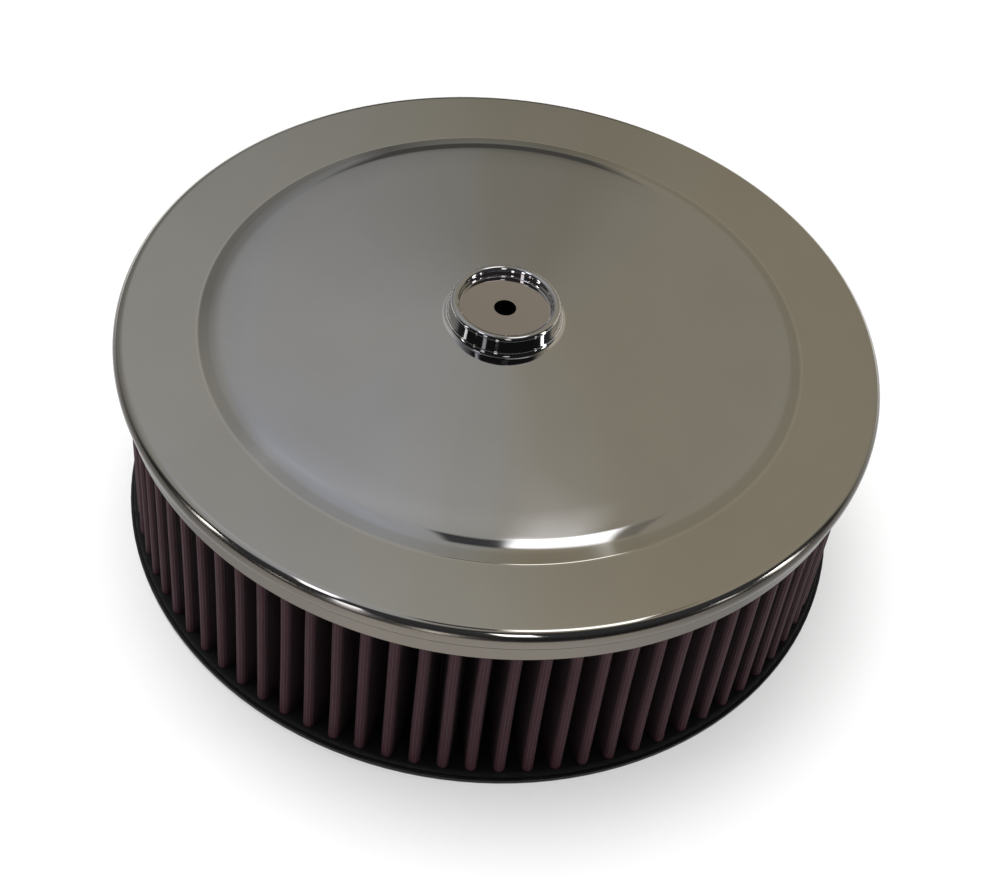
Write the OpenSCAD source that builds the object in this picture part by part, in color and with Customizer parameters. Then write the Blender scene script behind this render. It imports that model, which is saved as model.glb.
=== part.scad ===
// Round marine flame arrestor: a pressed, plated lid over a pleated wire-and-gauze
// element on a drop base that slides over a carburettor's air horn.
// Millimetres, +Z up. Origin: centre of the base's underside, where the part rests.

/* [Lid] */
// Outer diameter over the rolled rim
lid_d = 355.6; // [300:0.2:410]
// Sheet thickness of the lid
lid_t = 1; // [0.6:0.1:1.6]
// Outer radius of the rolled rim
rim_r = 5; // [3.5:0.1:6]
// How far the skirt is set in from the rolled rim
skirt_inset = 2.7; // [2:0.1:4]
// Height from the flat land down to the skirt's lower edge
skirt_h = 17.7; // [13:0.1:24]
// Width of the flat land, from the outer edge to the crown's foot
land_w = 40.2; // [32:0.1:50]
// Steepest angle of the small step at the crown's foot
step_angle = 18; // [12:1:22]
// Bend radius where the crown turns down into the step, on the sheet's middle line
step_edge_bend = 27; // [12:0.5:30]
// Bend radius at the step's foot, on the sheet's middle line
step_foot_bend = 10; // [5:0.5:12]
// Length of the step between the corners of its two bends
step_w = 5.3; // [5.2:0.1:9]
// Slope of the crown towards the boss
crown_slope = 3.2; // [1:0.1:5]

/* [Boss] */
// Outer diameter at the top of the boss
boss_d = 51; // [40:0.5:66]
// Height of the boss above the flat land
boss_h = 17.7; // [14:0.1:24]
// Draft of the boss wall, as an angle from upright
boss_draft = 6; // [2:0.5:12]
// Bend radius where the boss runs into the crown
boss_foot_bend = 3; // [1.5:0.1:5]
// Diameter of the recess inside the boss
recess_d = 42.8; // [30:0.2:46]
// Depth of the recess below the boss's rounded edge
recess_depth = 4.4; // [3.8:0.1:6]
// Bend radius between the recess wall and its floor
recess_bend = 1.3; // [0.8:0.1:2]
// Diameter of the hole for the holding-down stud
stud_hole_d = 10.3; // [6:0.1:14]

/* [Filter element] */
// Height of the element over its two end seals
element_h = 111.3; // [80:0.1:140]
// Height of the top end seal
top_seal_h = 14.5; // [10:0.5:18]
// Height of the bottom end seal
bottom_seal_h = 5; // [4:0.1:8]
// Edge radius of the moulded end seals
seal_edge = 1.5; // [0.8:0.1:1.9]
// How deep the pleats are moulded into each end seal
seal_bite = 2.5; // [1.5:0.1:3]
// Seal width left outside the pleats
seal_lip = 1.8; // [1:0.1:3]
// Number of pleats
pleat_count = 84; // [60:1:100]
// Thickness of the oiled gauze
gauze_t = 1.4; // [0.8:0.1:1.6]
// Thickness of each layer of wire cloth
wire_t = 0.5; // [0.3:0.05:0.6]
// Fold radius on the gauze's middle line
fold_r = 1.5; // [1.4:0.1:1.9]

/* [Flame screen] */
// Thickness of the fine wire cloth
screen_t = 0.8; // [0.5:0.1:1.2]
// Sheet thickness of the hoops that bind the screen's two ends
hoop_t = 0.8; // [0.5:0.1:1.2]
// Height of each hoop
hoop_h = 8; // [5:0.5:12]

/* [Base] */
// Sheet thickness of the base
base_t = 1.2; // [0.8:0.1:2]
// Height of the upturned lip round the element
lip_h = 4; // [3.5:0.1:6]
// Height of the raised platform's underside above the resting plane
drop_h = 24; // [16:0.5:32]
// Slope of the wall up to the platform, as an angle from upright
drop_draft = 10; // [4:1:20]
// Bend radius of the pressed base, on the sheet's middle line
base_bend = 2.5; // [1.5:0.1:4]
// Inside diameter of the carburettor neck
neck_d = 130.2; // [100:0.1:150]
// Height of the neck above the platform's underside
neck_h = 13; // [9:0.5:18]

/* [Gasket and breathers] */
// Radial width of the neck gasket
gasket_w = 9; // [6:0.5:14]
// Thickness of the neck gasket
gasket_t = 3; // [1.5:0.1:5]
// Outside diameter of each breather tube
breather_d = 15.9; // [10:0.1:20]
// Wall thickness of each breather tube
breather_t = 1.2; // [0.8:0.1:2]
// Width of the flange that holds a breather tube to the platform
breather_flange = 3.6; // [2:0.1:5]
// Width of the collar swaged on a breather tube under the platform
breather_collar = 1.6; // [1:0.1:2.5]
// Room left round each breather tube for its hose
hose_room = 5; // [3:0.5:8]
// Height of a breather tube's end above the resting plane
breather_rise = 3; // [1:0.5:6]

/* [Hidden] */
$fn = 144;
edge_facets = 32;
bend_step = 9;
fold_steps = 3;
// Room between the lid's skirt or the base's lip and the end seals
seat_gap = 0.3;
// Room between the flame screen's cloth and the hoops crimped over it
crimp_gap = 0.1;
// Space between the crown's foot and the inner hoop wall under the land
hoop_set = 1.5;
// Space between the flame screen and the element
screen_gap = 1.5;
// Space between a breather tube's flange and the platform's bend
platform_gap = 1;

// Levels, from the resting plane up
seat_z = base_t;
land_under_z = seat_z + element_h;
land_z = land_under_z + lid_t;
boss_z = land_z + boss_h;

// Radii, from the outside in
lid_r = lid_d / 2;
skirt_r = lid_r - skirt_inset - lid_t / 2;
element_r = skirt_r - lid_t / 2 - seat_gap;
// Rounded enough to clear the inside of the lid's roll and of the base's lip
seal_round = max(seal_edge, rim_r - skirt_inset - lid_t - seat_gap);
lip_bend = seal_round + base_t / 2;
land_r = lid_r - land_w;
hoop_in_r = land_r + hoop_set;
screen_in_r = hoop_in_r + hoop_t + crimp_gap;
hoop_out_r = screen_in_r + screen_t + crimp_gap + hoop_t;
seal_in_r = hoop_out_r + screen_gap;

// Folds: outer and inner fold centres, and the slope of the wall between them
stack = gauze_t + 2 * wire_t;
fold_out_r = element_r - seal_lip - stack / 2 - fold_r;
fold_in_r = seal_in_r + seal_lip + stack / 2 + fold_r;
pitch = 360 / pleat_count;
fold_run = [fold_out_r - fold_in_r * cos(pitch / 2), fold_in_r * sin(pitch / 2)];
wall_lean = atan2(fold_run.y, fold_run.x) - asin(2 * fold_r / norm(fold_run));
out_sweep = 90 - wall_lean;
in_sweep = 90 - wall_lean - pitch / 2;
pleat_low = seat_z + bottom_seal_h - seal_bite;
pleat_high = land_under_z - top_seal_h + seal_bite;

// Platform of the drop base
neck_r = neck_d / 2;
gasket_in_r = neck_r + base_bend + base_t / 2;
gasket_out_r = gasket_in_r + gasket_w;
breather_r = gasket_out_r + hose_room + breather_d / 2;
flange_r = breather_d / 2 + breather_flange;
platform_z = drop_h + base_t / 2;
platform_turn = 90 - drop_draft;
platform_r = breather_r + flange_r + platform_gap + base_bend * tan(platform_turn / 2);
drop_foot_r = platform_r + drop_h * tan(drop_draft);

function unit(v) = v / norm(v);
function left_of(v) = [-v.y, v.x];
function cross_z(a, b) = a.x * b.y - a.y * b.x;
function polar(r, a) = [r * cos(a), r * sin(a)];
function spin(v, a) = [v.x * cos(a) - v.y * sin(a), v.x * sin(a) + v.y * cos(a)];

// Sheet paths are lists of [radius, height, bend radius] along the sheet's middle line
function corner(path, i) = [path[i][0], path[i][1]];
function heading(path, i) = unit(corner(path, i + 1) - corner(path, i));
function turn(path, i) = asin(cross_z(heading(path, i - 1), heading(path, i)));

// Points round one bend, at a distance to the left of the middle line
function bend(path, i, away) =
    let (
        along = heading(path, i - 1),
        angle = turn(path, i),
        r = path[i][2],
        start = corner(path, i) - along * r * tan(abs(angle) / 2),
        inward = left_of(along) * sign(angle),
        steps = ceil(abs(angle) / bend_step)
    ) [
        for (k = [0 : steps])
            start + inward * r + spin(inward, angle * k / steps) * (sign(angle) * away - r)
    ];

// One face of the sheet, from its first edge to its last
function sheet_side(path, away) =
    let (last = len(path) - 1)
    concat(
        [corner(path, 0) + left_of(heading(path, 0)) * away],
        [for (i = [1 : last - 1]) each bend(path, i, away)],
        [corner(path, last) + left_of(heading(path, last - 1)) * away]
    );

module sheet_section(path, t) {
    back = sheet_side(path, -t / 2);
    polygon(concat(sheet_side(path, t / 2), [for (i = [1 : len(back)]) back[len(back) - i]]));
}

// A moulded ring's section with its four corners rounded
module rounded_section(r_in, r_out, z_low, z_high, edge) {
    translate([r_in + edge, z_low]) square([r_out - r_in - 2 * edge, z_high - z_low]);
    translate([r_in, z_low + edge]) square([r_out - r_in, z_high - z_low - 2 * edge]);
    for (r = [r_in + edge, r_out - edge], z = [z_low + edge, z_high - edge])
        translate([r, z]) circle(edge, $fn = edge_facets);
}

// Points round one fold; side is 1 at an outer fold and -1 at an inner one
function fold(centre_r, a, r, sweep, side) = [
    for (k = [0 : fold_steps])
        let (b = sweep * (2 * k / fold_steps - 1))
            polar(centre_r + side * r * cos(b), a) + r * sin(b) * polar(1, a + 90)
];

// The closed line of all pleats, at a distance outside the gauze's middle line
function pleat_line(away) = [
    for (i = [0 : pleat_count - 1])
        each concat(
            fold(fold_out_r, i * pitch, fold_r + away, out_sweep, 1),
            fold(fold_in_r, (i + 0.5) * pitch, fold_r - away, in_sweep, -1)
        )
];

module pleated_band(inside, outside) {
    difference() {
        polygon(pleat_line(outside));
        polygon(pleat_line(inside));
    }
}

module pleated_sheet(inside, outside) {
    translate([0, 0, pleat_low])
        linear_extrude(pleat_high - pleat_low) pleated_band(inside, outside);
}

// The lid's middle line, from the stud hole over the boss and out to the skirt
function lid_path() =
    let (
        mid = lid_t / 2,
        wall_in = recess_d / 2 + mid,
        wall_out = boss_d / 2 - mid,
        round_r = (wall_out - wall_in) / 2,
        foot = [land_r - step_foot_bend * tan(step_angle / 2), land_z - mid],
        edge = foot + step_w * [-cos(step_angle), sin(step_angle)],
        rise = (boss_z - mid) - edge.y,
        slope = tan(crown_slope),
        draft = tan(boss_draft),
        fall = (rise - slope * (edge.x - wall_out)) / (1 - slope * draft),
        roll = rim_r - mid,
        joggle = skirt_inset
    ) [
        [stud_hole_d / 2, boss_z - recess_depth - mid, 0],
        [wall_in, boss_z - recess_depth - mid, recess_bend],
        [wall_in, boss_z - mid, round_r],
        [wall_out, boss_z - mid, round_r * 0.98],
        [wall_out + fall * draft, boss_z - mid - fall, boss_foot_bend],
        [edge.x, edge.y, step_edge_bend],
        [foot.x, foot.y, step_foot_bend],
        [lid_r - mid, land_z - mid, roll],
        [lid_r - mid, land_z - rim_r - joggle * 0.8, roll * 0.8],
        [skirt_r, land_z - rim_r - joggle * 1.9, lid_t],
        [skirt_r, land_z - skirt_h, 0]
    ];

module lid() {
    color("silver") rotate_extrude() sheet_section(lid_path(), lid_t);
}

// An end seal: a moulded ring with the pleats' pocket in one face
module end_seal(z_low, z_high, pocket_z) {
    color("#1b1b1d") difference() {
        rotate_extrude() rounded_section(seal_in_r, element_r, z_low, z_high, seal_round);
        translate([0, 0, pocket_z])
            linear_extrude(seal_bite) pleated_band(-stack / 2, stack / 2);
    }
}

module top_end_seal() {
    end_seal(land_under_z - top_seal_h, land_under_z, land_under_z - top_seal_h);
}

module bottom_end_seal() {
    end_seal(seat_z, seat_z + bottom_seal_h, pleat_low);
}

module outer_wire_cloth() {
    color("#5b4549") pleated_sheet(gauze_t / 2, stack / 2);
}

module oiled_gauze() {
    color("#7a1f2b") pleated_sheet(-gauze_t / 2, gauze_t / 2);
}

module inner_wire_cloth() {
    color("#5b4549") pleated_sheet(-stack / 2, -gauze_t / 2);
}

module flame_screen() {
    color("#9a9a96") rotate_extrude()
        translate([screen_in_r, seat_z + hoop_t])
            square([screen_t, element_h - 2 * hoop_t]);
}

// A hoop of channel section, open upwards
module hoop() {
    rotate_extrude() difference() {
        translate([hoop_in_r, 0]) square([hoop_out_r - hoop_in_r, hoop_h]);
        translate([hoop_in_r + hoop_t, hoop_t])
            square([hoop_out_r - hoop_in_r - 2 * hoop_t, hoop_h]);
    }
}

module screen_bottom_hoop() {
    color("#b4b4b0") translate([0, 0, seat_z]) hoop();
}

module screen_top_hoop() {
    color("#b4b4b0") translate([0, 0, land_under_z]) mirror([0, 0, 1]) hoop();
}

// The base's middle line, from the lip over the drop wall to the neck's top
function base_path() =
    let (mid = base_t / 2, lip_r = element_r + seat_gap + mid) [
        [lip_r, lip_h, 0],
        [lip_r, mid, lip_bend],
        [drop_foot_r, mid, base_bend],
        [platform_r, platform_z, base_bend],
        [neck_r + mid, platform_z, base_bend],
        [neck_r + mid, drop_h + neck_h, 0]
    ];

module base_plate() {
    color("#232325") difference() {
        rotate_extrude() sheet_section(base_path(), base_t);
        for (side = [-1, 1])
            translate([side * breather_r, 0, drop_h - 1])
                cylinder(r = breather_d / 2 + crimp_gap, h = base_t + 2);
    }
}

module neck_gasket() {
    color("#2e2b28") rotate_extrude()
        translate([gasket_in_r, drop_h - gasket_t]) square([gasket_w, gasket_t]);
}

// A breather tube: a flange and a collar hold the platform between them, over a plain hose end
module breather_tube() {
    top_z = drop_h + base_t + breather_t;
    difference() {
        union() {
            translate([0, 0, drop_h + base_t]) cylinder(r = flange_r, h = breather_t);
            translate([0, 0, drop_h - breather_t])
                cylinder(r = breather_d / 2 + breather_collar, h = breather_t);
            translate([0, 0, breather_rise])
                cylinder(r = breather_d / 2, h = top_z - breather_rise);
        }
        translate([0, 0, breather_rise - 1])
            cylinder(r = breather_d / 2 - breather_t, h = top_z - breather_rise + 2);
    }
}

module breather_tube_left() {
    color("#c9b37e") translate([-breather_r, 0, 0]) breather_tube();
}

module breather_tube_right() {
    color("#c9b37e") translate([breather_r, 0, 0]) breather_tube();
}

lid();
top_end_seal();
bottom_end_seal();
outer_wire_cloth();
oiled_gauze();
inner_wire_cloth();
flame_screen();
screen_top_hoop();
screen_bottom_hoop();
base_plate();
neck_gasket();
breather_tube_left();
breather_tube_right();
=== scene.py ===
"""A round marine flame arrestor on a white studio floor.

Lengths are in metres. Names such as `mm(5)` turn the part's own millimetres into metres.
"""

import math
import random

import bpy
from mathutils import Matrix, Vector


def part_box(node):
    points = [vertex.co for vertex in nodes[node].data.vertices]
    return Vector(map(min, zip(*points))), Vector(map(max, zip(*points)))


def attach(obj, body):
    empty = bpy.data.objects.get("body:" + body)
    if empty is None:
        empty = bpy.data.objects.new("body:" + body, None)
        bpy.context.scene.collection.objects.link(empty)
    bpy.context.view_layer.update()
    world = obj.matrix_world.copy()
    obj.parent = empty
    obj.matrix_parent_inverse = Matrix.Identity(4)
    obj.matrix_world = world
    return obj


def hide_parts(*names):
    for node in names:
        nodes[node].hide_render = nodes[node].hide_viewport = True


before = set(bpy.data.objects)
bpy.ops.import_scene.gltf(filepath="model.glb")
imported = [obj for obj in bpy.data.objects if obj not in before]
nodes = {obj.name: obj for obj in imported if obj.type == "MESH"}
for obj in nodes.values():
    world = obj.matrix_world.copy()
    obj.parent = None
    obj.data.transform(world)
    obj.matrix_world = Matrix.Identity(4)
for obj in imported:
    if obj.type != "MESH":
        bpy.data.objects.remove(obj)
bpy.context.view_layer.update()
rng = random.Random(14)


def mm(value):
    return value / 1000


# ---------------------------------------------------------------- sizes of the part

LID_T = mm(1.0)
RIM_R = mm(5.0)
SKIRT_INSET = mm(2.7)
SKIRT_H = mm(17.7)
LAND_W = mm(40.2)
STEP_FOOT_R = mm(139.6)
STEP_EDGE_R = mm(131)
STEP_ANGLE = math.radians(17)
STEP_EDGE_BEND = mm(27)
STEP_FOOT_BEND = mm(2)
CROWN_EDGE_R = mm(119)
CROWN_EDGE_TURN = math.radians(1.5)
CROWN_EDGE_BEND = mm(420)
CROWN_SLOPE = math.tan(math.radians(3.2))
BOSS_R = mm(25.5)
BOSS_DRAFT = math.tan(math.radians(6))
BOSS_FOOT_BEND = mm(3)
RECESS_R = mm(21.4)
RECESS_DEPTH = mm(4.4)
RECESS_BEND = mm(1.3)
STUD_HOLE_R = mm(5.15)
SEAT_GAP = mm(0.3)
SEAL_LIP = mm(1.8)
PLEATS = 84
GAUZE_T = mm(1.4)
WIRE_T = mm(0.5)
FOLD_R = mm(1.5)

lid_low, lid_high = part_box("lid")
LID_R = mm(355.6) / 2
BOSS_Z = lid_high.z
SEAL_TOP_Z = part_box("top_end_seal")[1].z
LAND_Z = SEAL_TOP_Z + LID_T
PLEAT_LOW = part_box("oiled_gauze")[0].z
PLEAT_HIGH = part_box("oiled_gauze")[1].z
ELEMENT_R = LID_R - SKIRT_INSET - LID_T - SEAT_GAP
SEAL_IN_R = LID_R - LAND_W + mm(1.5 + 0.8 + 0.1 + 0.8 + 0.1 + 0.8 + 1.5)


# ---------------------------------------------------------------- mesh helpers


def make_object(name, verts, faces, uvs=None):
    """Links a mesh object; uvs is a list of one (u, v) pair for each vertex."""
    mesh = bpy.data.meshes.new(name)
    mesh.from_pydata(verts, [], faces)
    if uvs:
        layer = mesh.uv_layers.new(name="sheet_mm")
        for loop in mesh.loops:
            layer.data[loop.index].uv = uvs[loop.vertex_index]
    mesh.validate()
    mesh.update()
    obj = bpy.data.objects.new(name, mesh)
    bpy.context.scene.collection.objects.link(obj)
    return obj


def smooth(obj, angle):
    for face in obj.data.polygons:
        face.use_smooth = True
    obj.data.set_sharp_from_angle(angle=math.radians(angle))


def left_of(v):
    return Vector((-v.y, v.x))


def spin(v, angle):
    c, s = math.cos(angle), math.sin(angle)
    return Vector((v.x * c - v.y * s, v.x * s + v.y * c))


def sheet_side(path, away, step=math.radians(3)):
    """One face of a bent sheet. path holds (radius, height, bend radius) on its middle line."""
    at = [Vector((r, z)) for r, z, _ in path]
    out = [at[0] + left_of((at[1] - at[0]).normalized()) * away]
    for i in range(1, len(at) - 1):
        before = (at[i] - at[i - 1]).normalized()
        after = (at[i + 1] - at[i]).normalized()
        angle = math.asin(max(-1, min(1, before.x * after.y - before.y * after.x)))
        bend = path[i][2]
        inward = left_of(before) * math.copysign(1, angle)
        start = at[i] - before * bend * math.tan(abs(angle) / 2)
        count = max(2, math.ceil(abs(angle) / step))
        for k in range(count + 1):
            ray = spin(inward, angle * k / count)
            out.append(start + inward * bend + ray * (math.copysign(1, angle) * away - bend))
    out.append(at[-1] + left_of((at[-1] - at[-2]).normalized()) * away)
    return out


def lathe(name, outline, segments):
    """Turns a closed outline of (radius, height) points about Z."""
    count = len(outline)
    verts, faces = [], []
    for s in range(segments):
        a = 2 * math.pi * s / segments
        verts += [(p.x * math.cos(a), p.x * math.sin(a), p.y) for p in outline]
    for s in range(segments):
        here, there = s * count, (s + 1) % segments * count
        for k in range(count):
            n = (k + 1) % count
            faces.append((here + k, here + n, there + n, there + k))
    return make_object(name, verts, faces)


# ---------------------------------------------------------------- lid


def lid_path():
    mid = LID_T / 2
    wall_in, wall_out = RECESS_R + mid, BOSS_R - mid
    edge_z = LAND_Z - mid + (STEP_FOOT_R - STEP_EDGE_R) * math.tan(STEP_ANGLE)
    top = BOSS_Z - mid
    turn_z = edge_z + (STEP_EDGE_R - CROWN_EDGE_R) * math.tan(math.atan(CROWN_SLOPE) + CROWN_EDGE_TURN * 0.8)
    slope = CROWN_SLOPE - math.tan(CROWN_EDGE_TURN * 0.2)
    fall = (top - turn_z - slope * (CROWN_EDGE_R - wall_out)) / (1 - slope * BOSS_DRAFT)
    floor_z = BOSS_Z - RECESS_DEPTH - mid
    skirt_r = LID_R - SKIRT_INSET - mid
    roll = RIM_R - mid
    return [
        (STUD_HOLE_R, floor_z, 0),
        (wall_in, floor_z, RECESS_BEND),
        (wall_in, top, (wall_out - wall_in) / 2),
        (wall_out, top, (wall_out - wall_in) / 2 * 0.98),
        (wall_out + fall * BOSS_DRAFT, top - fall, BOSS_FOOT_BEND),
        (CROWN_EDGE_R, turn_z, CROWN_EDGE_BEND),
        (STEP_EDGE_R, edge_z, STEP_EDGE_BEND),
        (STEP_FOOT_R, LAND_Z - mid, STEP_FOOT_BEND),
        (LID_R - mid, LAND_Z - mid, roll),
        (LID_R - mid, LAND_Z - RIM_R - SKIRT_INSET * 0.8, roll * 0.8),
        (skirt_r, LAND_Z - RIM_R - SKIRT_INSET * 1.9, LID_T),
        (skirt_r, LAND_Z - SKIRT_H, 0),
    ]


def make_lid():
    path = lid_path()
    outline = sheet_side(path, LID_T / 2) + sheet_side(path, -LID_T / 2)[::-1]
    lid = lathe("lid_shell", outline, 240)
    smooth(lid, 30)
    return lid


# ---------------------------------------------------------------- pleated element


def pleat_geometry():
    """Fold centre radii, wall lean and arc sweeps of the folded stack."""
    stack = GAUZE_T + 2 * WIRE_T
    out_r = ELEMENT_R - SEAL_LIP - stack / 2 - FOLD_R
    in_r = SEAL_IN_R + SEAL_LIP + stack / 2 + FOLD_R
    half = math.pi / PLEATS
    run = Vector((out_r - in_r * math.cos(half), in_r * math.sin(half)))
    lean = math.atan2(run.y, run.x) - math.asin(2 * FOLD_R / run.length)
    return out_r, in_r, math.pi / 2 - lean, math.pi / 2 - lean - half


OUT_R, IN_R, OUT_SWEEP, IN_SWEEP = pleat_geometry()
FOLD_TIP_R = OUT_R + FOLD_R + GAUZE_T / 2 + WIRE_T
FOLD_STEPS = 8
ROWS = 12
# Each fold wanders a little between its two set ends, by a bow, an S and a slight swell
wander = [
    (rng.gauss(0, mm(0.16)), rng.gauss(0, mm(0.08)), rng.gauss(0, mm(0.12)))
    for _ in range(2 * PLEATS)
]


def pleat_loop(away, t):
    """All folds at a height t from 0 to 1, as (x, y) points, at a distance outside the middle line."""
    bow, ess = math.sin(math.pi * t), math.sin(2 * math.pi * t)
    points = []
    for i in range(2 * PLEATS):
        outer = i % 2 == 0
        a = math.pi / PLEATS * i
        sideways, twist, swell = wander[i]
        shift = sideways * bow + twist * ess
        centre = OUT_R - abs(swell) * bow if outer else IN_R + swell * bow
        sign = 1 if outer else -1
        r = FOLD_R + sign * away
        sweep = OUT_SWEEP if outer else IN_SWEEP
        ca, sa = math.cos(a), math.sin(a)
        for k in range(FOLD_STEPS + 1):
            b = sweep * (2 * k / FOLD_STEPS - 1)
            radial = centre + sign * r * math.cos(b)
            along = r * math.sin(b) + shift
            points.append((radial * ca - along * sa, radial * sa + along * ca))
    return points


def make_pleated(name, inside, outside):
    """One folded sheet between two distances from the stack's middle line, with UVs in millimetres."""
    count = 2 * PLEATS * (FOLD_STEPS + 1)
    verts, uvs, faces = [], [], []
    ways = []
    for away in (outside, inside):
        loop = pleat_loop(away, 0)
        run = [0.0]
        for k in range(1, count):
            run.append(run[-1] + math.dist(loop[k], loop[k - 1]) * 1000)
        ways.append(run)
    for side, away in enumerate((outside, inside)):
        for row in range(ROWS + 1):
            t = row / ROWS
            z = PLEAT_LOW + t * (PLEAT_HIGH - PLEAT_LOW)
            verts += [(x, y, z) for x, y in pleat_loop(away, t)]
            uvs += [(u, z * 1000) for u in ways[side]]
    back = (ROWS + 1) * count
    for row in range(ROWS):
        for k in range(count):
            n = (k + 1) % count
            a, b = row * count + k, row * count + n
            faces.append((a, b, b + count, a + count))
            faces.append((back + a, back + a + count, back + b + count, back + b))
    for k in range(count):
        n = (k + 1) % count
        top = ROWS * count
        faces.append((k, back + k, back + n, n))
        faces.append((top + k, top + n, back + top + n, back + top + k))
    sheet = make_object(name, verts, faces, uvs)
    smooth(sheet, 60)
    return sheet


# ---------------------------------------------------------------- materials


class Nodes:
    """Builds a material's node tree with one short call per node."""

    def __init__(self, name):
        self.material = bpy.data.materials.new(name)
        self.material.use_nodes = True
        self.tree = self.material.node_tree
        self.shader = self.tree.nodes["Principled BSDF"]

    def add(self, kind, inputs=None, **settings):
        node = self.tree.nodes.new(kind)
        for key, value in settings.items():
            setattr(node, key, value)
        for key, value in (inputs or {}).items():
            self.put(node, key, value)
        return node

    def put(self, node, key, value):
        if isinstance(value, bpy.types.NodeSocket):
            self.tree.links.new(value, node.inputs[key])
        else:
            node.inputs[key].default_value = value

    def set(self, **inputs):
        for key, value in inputs.items():
            self.put(self.shader, key.replace("_", " "), value)

    def coords(self, kind="Object"):
        return self.add("ShaderNodeTexCoord").outputs[kind]

    def noise(self, vector, scale, detail=3.0, roughness=0.5):
        values = {"Vector": vector, "Scale": scale, "Detail": detail, "Roughness": roughness}
        return self.add("ShaderNodeTexNoise", values).outputs["Fac"]

    def math(self, operation, a, b=0.0):
        return self.add("ShaderNodeMath", {0: a, 1: b}, operation=operation).outputs[0]

    def span(self, value, from_min, from_max, to_min, to_max):
        values = {1: from_min, 2: from_max, 3: to_min, 4: to_max, 0: value}
        return self.add("ShaderNodeMapRange", values).outputs[0]

    def mix(self, factor, a, b):
        node = self.add("ShaderNodeMix", data_type="RGBA")
        self.put(node, 0, factor)
        self.put(node, 6, a)
        self.put(node, 7, b)
        return node.outputs[2]

    def ramp(self, value, stops, smooth=False):
        """Colours along a value from 0 to 1; stops holds (position, grey or (r, g, b))."""
        node = self.add("ShaderNodeValToRGB", {0: value})
        bar = node.color_ramp
        bar.interpolation = "EASE" if smooth else "LINEAR"
        while len(bar.elements) < len(stops):
            bar.elements.new(1.0)
        for element, (position, colour) in zip(bar.elements, stops):
            r, g, b = colour if isinstance(colour, tuple) else (colour,) * 3
            element.position = position
            element.color = rgba(r, g, b)
        return node.outputs[0]

    def times(self, a, b):
        node = self.add("ShaderNodeMix", data_type="RGBA", blend_type="MULTIPLY")
        self.put(node, 0, 1.0)
        self.put(node, 6, a)
        self.put(node, 7, b)
        return node.outputs[2]

    def within(self, value, low, high, soft):
        """1 between low and high, falling to 0 over a soft edge outside them."""
        rise = self.span(value, low - soft, low, 0, 1)
        fall = self.span(value, high, high + soft, 1, 0)
        return self.math("MULTIPLY", rise, fall)

    def bump(self, height, distance, strength=1.0, normal=None):
        values = {"Height": height, "Distance": distance, "Strength": strength}
        if normal is not None:
            values["Normal"] = normal
        return self.add("ShaderNodeBump", values).outputs["Normal"]


def rgba(r, g, b):
    return (r, g, b, 1.0)


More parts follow.
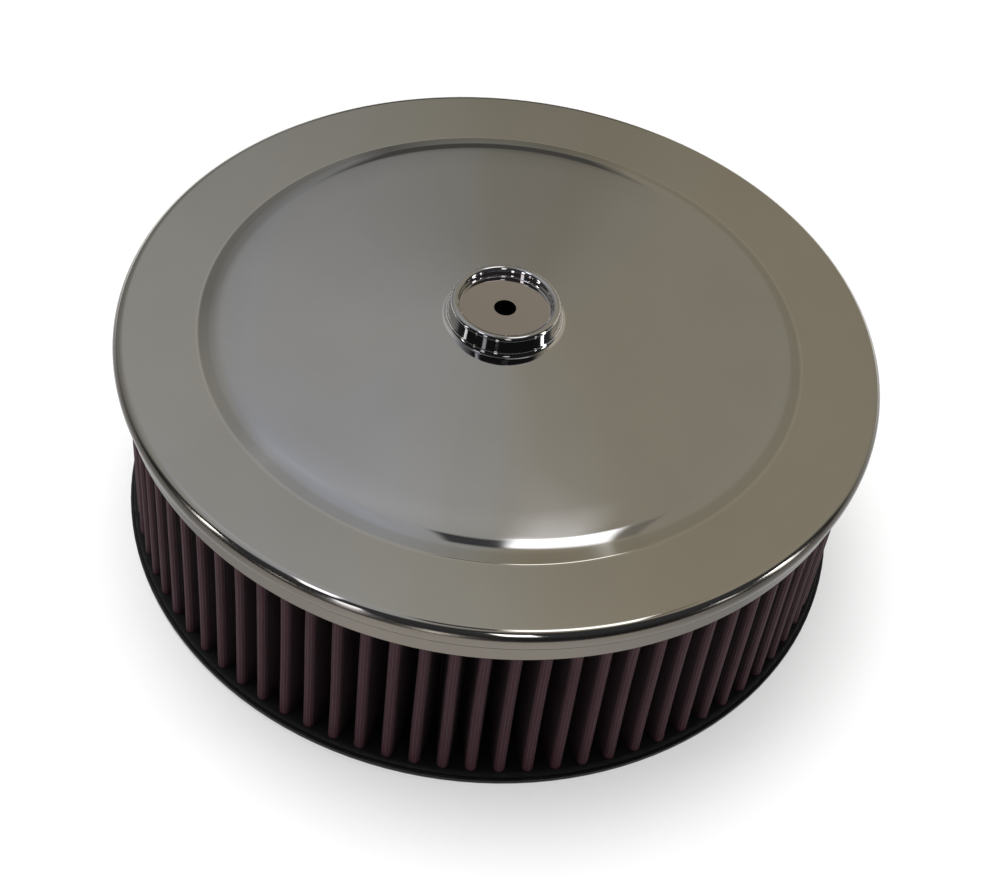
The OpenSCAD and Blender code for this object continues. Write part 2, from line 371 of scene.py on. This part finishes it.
def chrome():
    """Plated pressed steel: nearly a mirror, with faint forming waves and wiping haze. Its colour also
    carries painted reflection and painted shade by place and by facing: on the land, in the step's crease and
    along its foot, on the boss wall, in the recess and on the skirt.
    """
    m = Nodes("lid_plating")
    at = m.coords()
    waves = m.noise(at, 26, 1.0)
    ripple = m.noise(at, 140, 2.0)
    height = m.math("ADD", waves, m.math("MULTIPLY", ripple, 0.06))
    haze = m.noise(at, 18, 4.0, 0.6)
    tone = m.mix(m.span(haze, 0.35, 0.7, 0, 1), rgba(0.57, 0.565, 0.56), rgba(0.545, 0.54, 0.535))
    split = m.add("ShaderNodeSeparateXYZ", {0: at}).outputs
    flat = m.add("ShaderNodeCombineXYZ", {0: split[0], 1: split[1]}).outputs[0]
    radius = m.add("ShaderNodeVectorMath", {0: flat}, operation="LENGTH").outputs["Value"]
    # Painted reflection: the land outside the step is tinted warmer than the crown
    painted_land_reflection = m.span(radius, STEP_EDGE_R, STEP_FOOT_R, 0, 1)
    tone = m.times(tone, m.mix(painted_land_reflection, rgba(1, 1, 1), rgba(0.98, 0.955, 0.885)))
    # Painted shade: the plating is darker in the crease at the foot of the step
    crease_shade = m.within(radius, STEP_FOOT_R - mm(4.2), STEP_FOOT_R - mm(0.4), mm(1.4))
    tone = m.times(tone, m.mix(crease_shade, rgba(1, 1, 1), rgba(0.87, 0.87, 0.85)))
    # Painted highlight: a light line along the outer edge of the step's foot
    foot_highlight = m.within(radius, STEP_FOOT_R - mm(0.1), STEP_FOOT_R + mm(0.7), mm(0.7))
    tone = m.times(tone, m.mix(foot_highlight, rgba(1, 1, 1), rgba(1.13, 1.13, 1.13)))
    # Painted reflection and painted shade on the boss wall by the way it faces: darker where it faces -Y,
    # lighter elsewhere
    wall = m.within(radius, BOSS_R - mm(0.3), BOSS_R + mm(2.6), mm(0.8))
    facing = m.math("DIVIDE", split[1], radius)
    painted_wall_reflection = m.mix(m.span(facing, -0.8, -0.55, 0, 1), rgba(0.3, 0.3, 0.3), rgba(1.6, 1.6, 1.6))
    tone = m.times(tone, m.mix(wall, rgba(1, 1, 1), painted_wall_reflection))
    # Painted reflection: the recess floor is tinted warmer and darker
    recess_reflection_mask = m.span(radius, RECESS_R - mm(1.2), RECESS_R - mm(0.6), 1, 0)
    tone = m.times(tone, m.mix(recess_reflection_mask, rgba(1, 1, 1), rgba(0.95, 0.87, 0.84)))
    # Painted shade: the rolled rim's underside and the skirt are darkened, most on their sides and less near
    # and far, to dim the white floor they mirror
    skirt = m.span(split[2], LAND_Z - RIM_R * 0.38, LAND_Z - RIM_R * 0.17, 1, 0)
    nearness = m.math("ABSOLUTE", facing)
    painted_skirt_shade = m.mix(m.span(nearness, 0.75, 0.98, 0, 1), rgba(0.15, 0.142, 0.135), rgba(0.36, 0.335, 0.315))
    tone = m.times(tone, m.mix(skirt, rgba(1, 1, 1), painted_skirt_shade))
    m.set(Base_Color=tone, Metallic=1.0)
    rough = m.span(haze, 0.3, 0.75, 0.035, 0.075)
    m.set(Roughness=m.math("ADD", rough, m.math("MULTIPLY", skirt, 0.16)))
    m.set(Normal=m.bump(height, mm(0.05), 0.3))
    return m.material


def weave(m, uv, pitch):
    """Height and mask of plain woven wires whose pitch is in the UVs' millimetres."""
    split = m.add("ShaderNodeSeparateXYZ", {0: uv})
    turns = 2 * math.pi / pitch
    u = m.math("COSINE", m.math("MULTIPLY", split.outputs[0], turns))
    v = m.math("COSINE", m.math("MULTIPLY", split.outputs[1], turns))
    return m.math("MAXIMUM", u, v)


def coated_wire():
    """Epoxy-coated wire cloth pressed on red oiled gauze, seen together as one skin."""
    m = Nodes("coated_wire")
    uv = m.coords("UV")
    wires = weave(m, uv, 1.5)
    mask = m.span(wires, 0.45, 0.8, 0, 1)
    lint = m.noise(m.coords(), 420, 4.0, 0.65)
    gauze = m.mix(lint, rgba(0.085, 0.014, 0.022), rgba(0.04, 0.008, 0.012))
    blotch = m.span(m.noise(m.coords(), 30, 3.0), 0.35, 0.65, 0, 1)
    wire = m.mix(blotch, rgba(0.085, 0.052, 0.062), rgba(0.07, 0.038, 0.048))
    split = m.add("ShaderNodeSeparateXYZ", {0: m.coords()}).outputs
    flat = m.add("ShaderNodeCombineXYZ", {0: split[0], 1: split[1]}).outputs[0]
    radius = m.add("ShaderNodeVectorMath", {0: flat}, operation="LENGTH").outputs["Value"]
    # Painted shade: the cloth darkens away from the outermost line of each fold, into the gaps between the
    # folds
    painted_fold_shade = m.span(radius, FOLD_TIP_R - mm(3.2), FOLD_TIP_R - mm(0.4), 0.2, 1)
    colour = m.times(m.mix(mask, gauze, wire), m.mix(painted_fold_shade, rgba(0.02, 0.024, 0.022), rgba(1, 1, 1)))
    m.set(Base_Color=colour, Roughness=m.span(mask, 0, 1, 0.75, 0.6), Specular_IOR_Level=0.25)
    fuzz = m.bump(lint, mm(0.25), 0.5)
    m.set(Normal=m.bump(mask, mm(0.3), 0.8, fuzz))
    return m.material


def oiled_gauze():
    m = Nodes("oiled_gauze")
    uv = m.coords("UV")
    threads = weave(m, uv, 0.7)
    lint = m.noise(m.coords(), 500, 4.0, 0.6)
    m.set(Base_Color=m.mix(lint, rgba(0.2, 0.015, 0.03), rgba(0.08, 0.008, 0.014)))
    m.set(Roughness=0.6, Normal=m.bump(m.math("ADD", threads, lint), mm(0.15), 0.6))
    return m.material


def moulded_rubber(name, tone, grain, roughness):
    """Moulded rubber or polyurethane with a fine skin and a few pores."""
    m = Nodes(name)
    at = m.coords()
    skin = m.noise(at, grain, 5.0, 0.65)
    pores = m.add("ShaderNodeTexVoronoi", {"Vector": at, "Scale": grain * 0.6}).outputs["Distance"]
    dark = tuple(c * 0.6 for c in tone)
    m.set(Base_Color=m.mix(skin, rgba(*tone), rgba(*dark)))
    m.set(Roughness=m.span(skin, 0.3, 0.7, roughness - 0.1, roughness + 0.12), Specular_IOR_Level=0.12)
    pitted = m.bump(m.span(pores, 0, 0.18, 0, 1), mm(0.1), 0.25)
    m.set(Normal=m.bump(skin, mm(0.12), 0.4, pitted))
    return m.material


def black_paint():
    """Stoved black paint with orange peel and a little dust on its upper side."""
    m = Nodes("base_paint")
    at = m.coords()
    peel = m.noise(at, 520, 2.0)
    dust = m.span(m.noise(at, 60, 5.0, 0.7), 0.5, 0.8, 0, 1)
    m.set(Base_Color=m.mix(dust, rgba(0.02, 0.02, 0.021), rgba(0.05, 0.048, 0.045)))
    m.set(Roughness=m.span(dust, 0, 1, 0.4, 0.55), Specular_IOR_Level=0.15)
    m.set(Normal=m.bump(peel, mm(0.05), 0.35))
    return m.material


def polar_mm(m, radius):
    """Distance round a cylinder of the given radius and height up it, both in millimetres."""
    split = m.add("ShaderNodeSeparateXYZ", {0: m.coords()})
    angle = m.math("ARCTAN2", split.outputs[1], split.outputs[0])
    around = m.math("MULTIPLY", angle, radius * 1000)
    up = m.math("MULTIPLY", split.outputs[2], 1000.0)
    return m.add("ShaderNodeCombineXYZ", {0: around, 1: up}).outputs[0]


def screen_cloth():
    """Fine stainless wire cloth: bright wires with dark holes."""
    m = Nodes("screen_steel")
    wires = weave(m, polar_mm(m, (SEAL_IN_R + LID_R - LAND_W) / 2), 1.3)
    mask = m.span(wires, 0.1, 0.5, 0, 1)
    # Painted shade: the holes between the wires are painted near black, for the dark inside seen through them
    m.set(Base_Color=m.mix(mask, rgba(0.03, 0.03, 0.03), rgba(0.5, 0.5, 0.48)))
    m.set(Metallic=m.span(mask, 0, 1, 0.2, 1.0), Roughness=0.38)
    m.set(Normal=m.bump(mask, mm(0.3), 0.8))
    return m.material


def rolled_steel(name, tone, roughness):
    """Plated or bright strip with rolling lines and a slightly uneven tone."""
    m = Nodes(name)
    at = m.coords()
    stretch = m.add("ShaderNodeMapping", {"Vector": at, "Scale": (1.0, 1.0, 14.0)})
    lines = m.noise(stretch.outputs[0], 160, 4.0, 0.6)
    cloud = m.noise(at, 45, 3.0)
    dark = tuple(c * 0.75 for c in tone)
    m.set(Base_Color=m.mix(cloud, rgba(*tone), rgba(*dark)), Metallic=1.0)
    m.set(Roughness=m.span(lines, 0.3, 0.7, roughness - 0.06, roughness + 0.1))
    m.set(Normal=m.bump(lines, mm(0.05), 0.3))
    return m.material


def studio_floor():
    """White paper: part of its white is its own for the camera and for mirrors, so shadows stay light."""
    m = Nodes("studio_floor")
    grain = m.noise(m.coords(), 40, 2.0)
    m.set(Base_Color=m.mix(grain, rgba(0.47, 0.47, 0.47), rgba(0.455, 0.455, 0.455)))
    m.set(Roughness=0.85, Specular_IOR_Level=0.1)
    path = m.add("ShaderNodeLightPath").outputs
    seen = m.math("MAXIMUM", path["Is Camera Ray"], path["Is Glossy Ray"])
    seen = m.math("MAXIMUM", seen, path["Is Transmission Ray"])
    m.set(Emission_Color=rgba(1, 1, 1), Emission_Strength=m.math("MULTIPLY", seen, 0.53))
    return m.material


def dress(obj, material):
    obj.data.materials.clear()
    obj.data.materials.append(material)
    for face in obj.data.polygons:
        face.material_index = 0


# ---------------------------------------------------------------- put the part together

plated = chrome()
wire_skin = coated_wire()
red_gauze = oiled_gauze()
half_gauze = GAUZE_T / 2
half_stack = half_gauze + WIRE_T

lid = make_lid()
dress(lid, plated)
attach(lid, "root")
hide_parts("lid")

for node, inside, outside, material, slot in (
    ("outer_wire_cloth", half_gauze, half_stack, wire_skin, "coated_wire"),
    ("oiled_gauze", -half_gauze, half_gauze, red_gauze, "oiled_gauze"),
    ("inner_wire_cloth", -half_stack, -half_gauze, wire_skin, "coated_wire"),
):
    sheet = make_pleated("folded_" + node, inside, outside)
    dress(sheet, material)
    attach(sheet, "root")
    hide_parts(node)

seal_skin = moulded_rubber("seal_rubber", (0.018, 0.018, 0.019), 260, 0.6)
hoop_strip = rolled_steel("hoop_steel", (0.55, 0.55, 0.53), 0.3)
zinc = rolled_steel("breather_steel", (0.62, 0.52, 0.3), 0.28)
for node, material in (
    ("top_end_seal", seal_skin),
    ("bottom_end_seal", seal_skin),
    ("flame_screen", screen_cloth()),
    ("screen_top_hoop", hoop_strip),
    ("screen_bottom_hoop", hoop_strip),
    ("base_plate", black_paint()),
    ("neck_gasket", moulded_rubber("gasket_rubber", (0.045, 0.04, 0.036), 420, 0.75)),
    ("breather_tube_left", zinc),
    ("breather_tube_right", zinc),
):
    dress(nodes[node], material)


# ---------------------------------------------------------------- floor, light and camera

FLOOR_HALF = 4.0
floor = make_object(
    "studio_floor",
    [(x * FLOOR_HALF, y * FLOOR_HALF, -mm(0.2)) for x, y in ((-1, -1), (1, -1), (1, 1), (-1, 1))],
    [(0, 1, 2, 3)],
)
dress(floor, studio_floor())


def aim(obj, origin, target):
    """Places an object so that its -Z axis points from origin to target."""
    obj.location = origin
    obj.rotation_mode = "QUATERNION"
    obj.rotation_quaternion = (Vector(target) - Vector(origin)).to_track_quat("-Z", "Y")


def softbox(name, direction, distance, width, height, brightness):
    """An area lamp seen from the part in one direction; brightness is its radiance."""
    light = bpy.data.lights.new(name, "AREA")
    light.shape = "RECTANGLE"
    light.size, light.size_y = width, height
    light.energy = brightness * math.pi * width * height
    obj = bpy.data.objects.new(name, light)
    bpy.context.scene.collection.objects.link(obj)
    middle = Vector((0, 0, LAND_Z))
    aim(obj, middle + Vector(direction).normalized() * distance, middle)
    return obj


def overhead(direction, angle, strength):
    """The soft main light, left out of the mirror so that its disc doesn't show there."""
    light = bpy.data.lights.new("overhead_key", "SUN")
    light.energy, light.angle = strength, math.radians(angle)
    obj = bpy.data.objects.new("overhead_key", light)
    obj.visible_glossy = False
    bpy.context.scene.collection.objects.link(obj)
    aim(obj, Vector(direction), (0, 0, 0))


overhead((-0.12, 0.2, 0.97), 30, 2.7)
for name, direction, width, height, brightness in (
    ("left_glint", (-0.88, -0.335, 0.335), 0.17, 0.8, 5),
    ("low_left_glint", (-0.684, -0.668, 0.294), 0.08, 0.35, 4),
    ("rear_left_glint", (-0.1, -0.965, 0.25), 0.16, 0.55, 5),
    ("rear_right_glint", (0.170, -0.541, 0.824), 0.24, 0.55, 3),
    ("right_glint", (0.952, -0.112, 0.29), 0.22, 0.85, 5),
    ("low_right_glint", (0.87, -0.395, 0.27), 0.09, 0.5, 5),
):
    softbox(name, direction, 1.92, width, height, brightness)


def studio_world():
    """A dim room: a wall ahead, grey on its left and olive on its right, with a dark doorway.

    The roof has a long window over its right half: the white patch on the step and the white
    line on the rim.
    """
    world = bpy.data.worlds.new("studio_room")
    bpy.context.scene.world = world
    world.use_nodes = True
    m = Nodes.__new__(Nodes)
    m.tree = world.node_tree
    towards = m.coords("Generated")
    x, y, z = m.add("ShaderNodeSeparateXYZ", {0: towards}).outputs
    stretch = m.add("ShaderNodeMapping", {"Vector": towards, "Scale": (1.0, 0.12, 0.12)})
    drapes = m.noise(stretch.outputs[0], 16, 2.0)
    across = m.math("ADD", x, m.span(drapes, 0.3, 0.7, -0.03, 0.03))
    wall = m.ramp(m.span(across, -0.5, 0.5, 0, 1), [
        (0.0, (0.37, 0.365, 0.35)), (0.28, (0.44, 0.44, 0.445)), (0.42, (0.41, 0.40, 0.37)),
        (0.50, (0.375, 0.355, 0.30)), (0.62, (0.35, 0.315, 0.25)), (1.0, (0.36, 0.33, 0.27)),
    ])
    left_lift = m.ramp(z, [
        (0.0, 0.55), (0.10, 0.58), (0.50, 0.66), (0.56, 0.78), (0.65, 0.93), (0.70, 1.0), (0.78, 1.04),
        (0.815, 1.16), (0.84, 1.27), (0.88, 1.16), (1.0, 1.04),
    ])
    right_lift = m.ramp(z, [(0.0, 0.8), (0.10, 0.93), (0.50, 0.96), (0.84, 1.04), (1.0, 1.04)])
    room = m.times(wall, m.mix(m.span(x, 0.03, 0.13, 0, 1), left_lift, right_lift))
    cool = m.math("MULTIPLY", m.span(z, 0.72, 0.82, 0, 1), m.span(x, 0.0, 0.1, 1, 0))
    room = m.times(room, m.mix(cool, rgba(1, 1, 1), rgba(0.97, 1.0, 1.09)))
    doorway = m.math("MULTIPLY", m.within(x, -0.19, 0.07, 0.06), m.within(z, 0.17, 0.43, 0.07))
    room = m.mix(doorway, room, rgba(0.08, 0.078, 0.072))
    left_edge = m.math("ADD", x, m.math("MULTIPLY", y, 0.09))
    right_edge = m.math("ADD", x, m.math("MULTIPLY", y, 0.4))
    above = m.span(z, 0.7, 0.8, 0, 1)
    frame_left = m.math("MULTIPLY", m.within(x, -0.05, 0.045, 0.02), m.within(y, 0.2, 0.4, 0.05))
    frame_right = m.math("MULTIPLY", m.within(right_edge, 0.37, 0.41, 0.02), m.within(y, 0.26, 0.46, 0.05))
    frame_right = m.math("MULTIPLY", frame_right, 0.45)
    window_frame = m.math("MULTIPLY", above, m.math("MAXIMUM", frame_left, frame_right))
    room = m.mix(window_frame, room, rgba(0.06, 0.06, 0.065))
    pane = m.math("MULTIPLY", m.span(y, 0.17, 0.24, 0, 1), m.span(y, 0.475, 0.51, 1, 0))
    pane = m.math("MULTIPLY", pane, m.span(left_edge, 0.068, 0.088, 0, 1))
    pane = m.math("MULTIPLY", pane, m.span(right_edge, 0.345, 0.365, 1, 0))
    # Gauze over the window's far end: a faint lobe on the crown above the white patch
    gauze = m.math("MULTIPLY", m.within(x, 0.055, 0.09, 0.035), m.within(y, 0.5, 0.525, 0.06))
    pane = m.math("MAXIMUM", pane, m.math("MULTIPLY", gauze, 0.2))
    room = m.mix(m.math("MULTIPLY", above, pane), room, rgba(2.3, 2.3, 2.35))
    dark_sides = m.math("MAXIMUM", m.span(x, 0.0, 1.0, 0.0, 0.4), m.span(x, -1.0, -0.78, 0.22, 0.0))
    ahead = m.math("SUBTRACT", y, dark_sides)
    room = m.mix(m.span(ahead, -0.14, 0.0, 1, 0), room, rgba(0.045, 0.045, 0.05))
    tilted = m.math("SUBTRACT", x, m.math("MULTIPLY", y, 0.35))
    overhead_lamp = m.math("MULTIPLY", m.within(tilted, -0.345, -0.26, 0.02), m.within(y, -0.22, 0.07, 0.04))
    tilted = m.math("SUBTRACT", x, m.math("MULTIPLY", y, 0.25))
    rear_lamp = m.math("MULTIPLY", m.within(tilted, -0.285, -0.2, 0.015), m.within(y, -0.84, -0.52, 0.06))
    left_lamps = m.math("MULTIPLY", m.math("MAXIMUM", overhead_lamp, rear_lamp), m.span(z, 0.1, 0.2, 0, 1))
    room = m.mix(left_lamps, room, rgba(2.2, 2.2, 2.4))
    colour = m.mix(m.span(z, -0.02, 0.0, 1, 0), room, rgba(0.9, 0.9, 0.9))
    back = world.node_tree.nodes["Background"]
    m.put(back, "Color", colour)
    m.put(back, "Strength", 1.0)


studio_world()

# The photograph's view: down on the rim's plane, rolled a little, with the part set low in frame
VIEW_DOWN = math.radians(47.417)
VIEW_ROLL = math.radians(-7.814)
VIEW_DISTANCE = mm(860.6)
VIEW_SHIFT = (0.00079, -0.05918)
VIEW_LENS = 66.48
RIM_PLANE_Z = LAND_Z - RIM_R


def make_camera():
    forward = Vector((0, math.cos(VIEW_DOWN), -math.sin(VIEW_DOWN)))
    level = Vector((1, 0, 0))
    down = Vector((0, -math.sin(VIEW_DOWN), -math.cos(VIEW_DOWN)))
    c, s = math.cos(VIEW_ROLL), math.sin(VIEW_ROLL)
    right = level * c + down * s
    below = down * c - level * s
    data = bpy.data.cameras.new("photo_camera")
    data.sensor_width, data.lens = 36, VIEW_LENS
    data.clip_start, data.clip_end = 0.05, 50
    camera = bpy.data.objects.new("photo_camera", data)
    bpy.context.scene.collection.objects.link(camera)
    target = Vector((0, 0, RIM_PLANE_Z))
    offset = right * VIEW_SHIFT[0] + below * VIEW_SHIFT[1] + forward
    place = Matrix((right, -below, -forward)).transposed().to_4x4()
    place.translation = target - offset * VIEW_DISTANCE
    camera.matrix_world = place
    bpy.context.scene.camera = camera


make_camera()
bpy.context.scene.view_settings.view_transform = "Standard"
